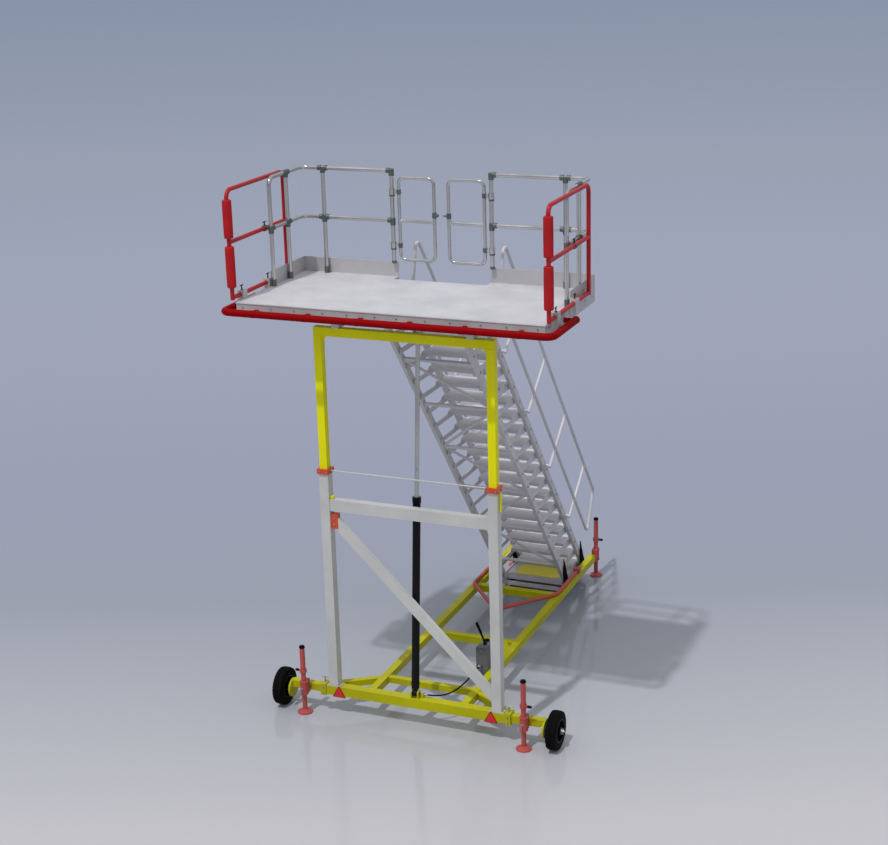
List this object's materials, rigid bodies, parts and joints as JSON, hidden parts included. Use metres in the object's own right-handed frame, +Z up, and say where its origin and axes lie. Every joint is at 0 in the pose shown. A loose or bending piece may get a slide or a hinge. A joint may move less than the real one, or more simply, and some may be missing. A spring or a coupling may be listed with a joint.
{
  "type": "variable-height access platform",
  "caption": "Wheeled access platform: a two-post telescopic mast lifts a guarded deck, reached by a stair whose treads stay level as it follows the deck.",
  "frame": {"origin": "on the floor under the middle of the object's box, at the pictured height", "axes": "+Z up, -Y towards the front bumper, +X to the right seen from behind the bumper's back, that is to the viewer's right when facing the front"},
  "size_m": [3.4178, 4.989, 5.53],
  "materials": {
    "yellow_paint": "gloss",
    "white_paint": "satin",
    "orange_paint": "satin",
    "guard_red": "gloss",
    "jack_red": "satin",
    "drawbar_red": "satin",
    "bumper_rubber": "satin",
    "chrome_tube": "polished",
    "aluminium": "satin",
    "deck_sheet": "satin",
    "pump_grey": "satin",
    "black_paint": "satin",
    "black_rubber": "matt",
    "tyre": "matt",
    "steel": "satin",
    "red_foam": "matt",
    "reflector_red": "gloss"
  },
  "bodies": {
    "chassis": {"chassis_frame": "yellow_paint", "axle_stubs": "steel", "jack_sleeves": "jack_red", "reflectors": "reflector_red", "pump_unit": "pump_grey", "pump_lever": "black_paint", "pump_hose": "black_rubber", "drawbar": "drawbar_red", "outer_posts": "white_paint", "post_collars": "orange_paint", "mast_braces": "white_paint"},
    "wheel_left": {"tyre_left": "tyre", "wheel_rim_left": "black_paint"},
    "wheel_right": {"tyre_right": "tyre", "wheel_rim_right": "black_paint"},
    "jack_front_left": {"jack_leg_front_left": "jack_red"},
    "jack_front_right": {"jack_leg_front_right": "jack_red"},
    "jack_rear_left": {"jack_leg_rear_left": "jack_red"},
    "jack_rear_right": {"jack_leg_rear_right": "jack_red"},
    "barrel": {"cylinder_barrel": "black_paint"},
    "rod": {"cylinder_rod": "chrome_tube"},
    "platform": {"inner_mast": "yellow_paint", "deck_frame": "aluminium", "deck_plate": "deck_sheet", "bumper": "bumper_rubber", "toe_boards": "aluminium", "side_guards": "chrome_tube", "rear_guards": "chrome_tube", "stair_hanger": "aluminium"},
    "gate_leaf_left": {"gate_left": "chrome_tube"},
    "gate_leaf_right": {"gate_right": "chrome_tube"},
    "guard_left": {"slide_guard_left": "guard_red", "foam_sleeves_left": "red_foam"},
    "guard_right": {"slide_guard_right": "guard_red", "foam_sleeves_right": "red_foam"},
    "lower_chords": {"stair_lower": "aluminium"},
    "upper_chords": {"stair_upper": "aluminium", "handrails": "aluminium"},
    "foot": {"stair_foot": "aluminium", "foot_boots": "black_rubber"},
    "foot_axle_front": {"foot_wheels_front": "black_rubber"},
    "foot_axle_rear": {"foot_wheels_rear": "black_rubber"},
    "step_01": {"tread_01": "aluminium"},
    "step_02": {"tread_02": "aluminium"},
    "step_03": {"tread_03": "aluminium"},
    "step_04": {"tread_04": "aluminium"},
    "step_05": {"tread_05": "aluminium"},
    "step_06": {"tread_06": "aluminium"},
    "step_07": {"tread_07": "aluminium"},
    "step_08": {"tread_08": "aluminium"},
    "step_09": {"tread_09": "aluminium"},
    "step_10": {"tread_10": "aluminium"},
    "step_11": {"tread_11": "aluminium"},
    "step_12": {"tread_12": "aluminium"},
    "step_13": {"tread_13": "aluminium"},
    "step_14": {"tread_14": "aluminium"},
    "step_15": {"tread_15": "aluminium"},
    "step_16": {"tread_16": "aluminium"},
    "step_17": {"tread_17": "aluminium"},
    "step_18": {"tread_18": "aluminium"}
  },
  "joints": [
    {"name": "lift", "type": "slide", "parent": "chassis", "child": "platform", "axis": [0, 0, 1], "range_m": [-1.3, 0]},
    {"name": "barrel_lean", "type": "hinge", "parent": "chassis", "child": "barrel", "pos_m": [0, -1.9655, 0.36], "axis": [1, 0, 0], "range_deg": [-4, 1]},
    {"name": "rod_stroke", "type": "slide", "parent": "barrel", "child": "rod", "axis": [0, 0.0949, 0.9955], "range_m": [-1.3, 0.005]},
    {"name": "lower_swing", "type": "hinge", "parent": "platform", "child": "lower_chords", "pos_m": [0, -1.5455, 4.161], "axis": [1, 0, 0], "range_deg": [-1, 21]},
    {"name": "upper_swing", "type": "hinge", "parent": "platform", "child": "upper_chords", "pos_m": [0, -0.9255, 4.161], "axis": [1, 0, 0], "range_deg": [-1, 21]},
    {"name": "step_01_level", "type": "hinge", "parent": "lower_chords", "child": "step_01", "pos_m": [0, -1.37746, 3.952], "axis": [1, 0, 0], "range_deg": [-21, 1]},
    {"name": "step_02_level", "type": "hinge", "parent": "lower_chords", "child": "step_02", "pos_m": [0, -1.20942, 3.743], "axis": [1, 0, 0], "range_deg": [-21, 1]},
    {"name": "step_03_level", "type": "hinge", "parent": "lower_chords", "child": "step_03", "pos_m": [0, -1.04138, 3.534], "axis": [1, 0, 0], "range_deg": [-21, 1]},
    {"name": "step_04_level", "type": "hinge", "parent": "lower_chords", "child": "step_04", "pos_m": [0, -0.87334, 3.325], "axis": [1, 0, 0], "range_deg": [-21, 1]},
    {"name": "step_05_level", "type": "hinge", "parent": "lower_chords", "child": "step_05", "pos_m": [0, -0.7053, 3.116], "axis": [1, 0, 0], "range_deg": [-21, 1]},
    {"name": "step_06_level", "type": "hinge", "parent": "lower_chords", "child": "step_06", "pos_m": [0, -0.53726, 2.907], "axis": [1, 0, 0], "range_deg": [-21, 1]},
    {"name": "step_07_level", "type": "hinge", "parent": "lower_chords", "child": "step_07", "pos_m": [0, -0.36922, 2.698], "axis": [1, 0, 0], "range_deg": [-21, 1]},
    {"name": "step_08_level", "type": "hinge", "parent": "lower_chords", "child": "step_08", "pos_m": [0, -0.20118, 2.489], "axis": [1, 0, 0], "range_deg": [-21, 1]},
    {"name": "step_09_level", "type": "hinge", "parent": "lower_chords", "child": "step_09", "pos_m": [0, -0.03314, 2.28], "axis": [1, 0, 0], "range_deg": [-21, 1]},
    {"name": "step_10_level", "type": "hinge", "parent": "lower_chords", "child": "step_10", "pos_m": [0, 0.1349, 2.071], "axis": [1, 0, 0], "range_deg": [-21, 1]},
    {"name": "step_11_level", "type": "hinge", "parent": "lower_chords", "child": "step_11", "pos_m": [0, 0.30294, 1.862], "axis": [1, 0, 0], "range_deg": [-21, 1]},
    {"name": "step_12_level", "type": "hinge", "parent": "lower_chords", "child": "step_12", "pos_m": [0, 0.47098, 1.653], "axis": [1, 0, 0], "range_deg": [-21, 1]},
    {"name": "step_13_level", "type": "hinge", "parent": "lower_chords", "child": "step_13", "pos_m": [0, 0.63902, 1.444], "axis": [1, 0, 0], "range_deg": [-21, 1]},
    {"name": "step_14_level", "type": "hinge", "parent": "lower_chords", "child": "step_14", "pos_m": [0, 0.80706, 1.235], "axis": [1, 0, 0], "range_deg": [-21, 1]},
    {"name": "step_15_level", "type": "hinge", "parent": "lower_chords", "child": "step_15", "pos_m": [0, 0.9751, 1.026], "axis": [1, 0, 0], "range_deg": [-21, 1]},
    {"name": "step_16_level", "type": "hinge", "parent": "lower_chords", "child": "step_16", "pos_m": [0, 1.14315, 0.817], "axis": [1, 0, 0], "range_deg": [-21, 1]},
    {"name": "step_17_level", "type": "hinge", "parent": "lower_chords", "child": "step_17", "pos_m": [0, 1.31119, 0.608], "axis": [1, 0, 0], "range_deg": [-21, 1]},
    {"name": "step_18_level", "type": "hinge", "parent": "lower_chords", "child": "step_18", "pos_m": [0, 1.47923, 0.399], "axis": [1, 0, 0], "range_deg": [-21, 1]},
    {"name": "foot_level", "type": "hinge", "parent": "lower_chords", "child": "foot", "pos_m": [0, 1.64727, 0.19], "axis": [1, 0, 0], "range_deg": [-21, 1]},
    {"name": "foot_roll_front", "type": "hinge", "parent": "foot", "child": "foot_axle_front", "pos_m": [0, 1.75727, 0.06], "axis": [1, 0, 0], "continuous": true},
    {"name": "foot_roll_rear", "type": "hinge", "parent": "foot", "child": "foot_axle_rear", "pos_m": [0, 2.15727, 0.06], "axis": [1, 0, 0], "continuous": true},
    {"name": "wheel_left_roll", "type": "hinge", "parent": "chassis", "child": "wheel_left", "pos_m": [-1.504, -1.9655, 0.2], "axis": [1, 0, 0], "continuous": true},
    {"name": "gate_left_swing", "type": "hinge", "parent": "platform", "child": "gate_leaf_left", "pos_m": [-0.53, -0.9355, 5.03], "axis": [0, 0, -1], "range_deg": [0, 90]},
    {"name": "guard_left_slide", "type": "slide", "parent": "platform", "child": "guard_left", "axis": [0, -1, 0], "range_m": [0, 0.35]},
    {"name": "wheel_right_roll", "type": "hinge", "parent": "chassis", "child": "wheel_right", "pos_m": [1.504, -1.9655, 0.2], "axis": [1, 0, 0], "continuous": true},
    {"name": "gate_right_swing", "type": "hinge", "parent": "platform", "child": "gate_leaf_right", "pos_m": [0.53, -0.9355, 5.03], "axis": [0, 0, 1], "range_deg": [0, 90]},
    {"name": "guard_right_slide", "type": "slide", "parent": "platform", "child": "guard_right", "axis": [0, -1, 0], "range_m": [0, 0.35]},
    {"name": "jack_front_left_lift", "type": "slide", "parent": "chassis", "child": "jack_front_left", "axis": [0, 0, 1], "range_m": [0, 0.15]},
    {"name": "jack_front_right_lift", "type": "slide", "parent": "chassis", "child": "jack_front_right", "axis": [0, 0, 1], "range_m": [0, 0.15]},
    {"name": "jack_rear_left_lift", "type": "slide", "parent": "chassis", "child": "jack_rear_left", "axis": [0, 0, 1], "range_m": [0, 0.15]},
    {"name": "jack_rear_right_lift", "type": "slide", "parent": "chassis", "child": "jack_rear_right", "axis": [0, 0, 1], "range_m": [0, 0.15]}
  ],
  "couplings": [
    {"joint": "barrel_lean", "follows": "lift", "rad_per_m": 0.039646},
    {"joint": "rod_stroke", "follows": "lift", "ratio": 0.99304},
    {"joint": "lower_swing", "follows": "lift", "rad_per_m": -0.26295},
    {"joint": "upper_swing", "follows": "lift", "rad_per_m": -0.26295},
    {"joint": "step_01_level", "follows": "lift", "rad_per_m": 0.26295},
    {"joint": "step_02_level", "follows": "lift", "rad_per_m": 0.26295},
    {"joint": "step_03_level", "follows": "lift", "rad_per_m": 0.26295},
    {"joint": "step_04_level", "follows": "lift", "rad_per_m": 0.26295},
    {"joint": "step_05_level", "follows": "lift", "rad_per_m": 0.26295},
    {"joint": "step_06_level", "follows": "lift", "rad_per_m": 0.26295},
    {"joint": "step_07_level", "follows": "lift", "rad_per_m": 0.26295},
    {"joint": "step_08_level", "follows": "lift", "rad_per_m": 0.26295},
    {"joint": "step_09_level", "follows": "lift", "rad_per_m": 0.26295},
    {"joint": "step_10_level", "follows": "lift", "rad_per_m": 0.26295},
    {"joint": "step_11_level", "follows": "lift", "rad_per_m": 0.26295},
    {"joint": "step_12_level", "follows": "lift", "rad_per_m": 0.26295},
    {"joint": "step_13_level", "follows": "lift", "rad_per_m": 0.26295},
    {"joint": "step_14_level", "follows": "lift", "rad_per_m": 0.26295},
    {"joint": "step_15_level", "follows": "lift", "rad_per_m": 0.26295},
    {"joint": "step_16_level", "follows": "lift", "rad_per_m": 0.26295},
    {"joint": "step_17_level", "follows": "lift", "rad_per_m": 0.26295},
    {"joint": "step_18_level", "follows": "lift", "rad_per_m": 0.26295},
    {"joint": "foot_level", "follows": "lift", "rad_per_m": 0.26295}
  ]
}
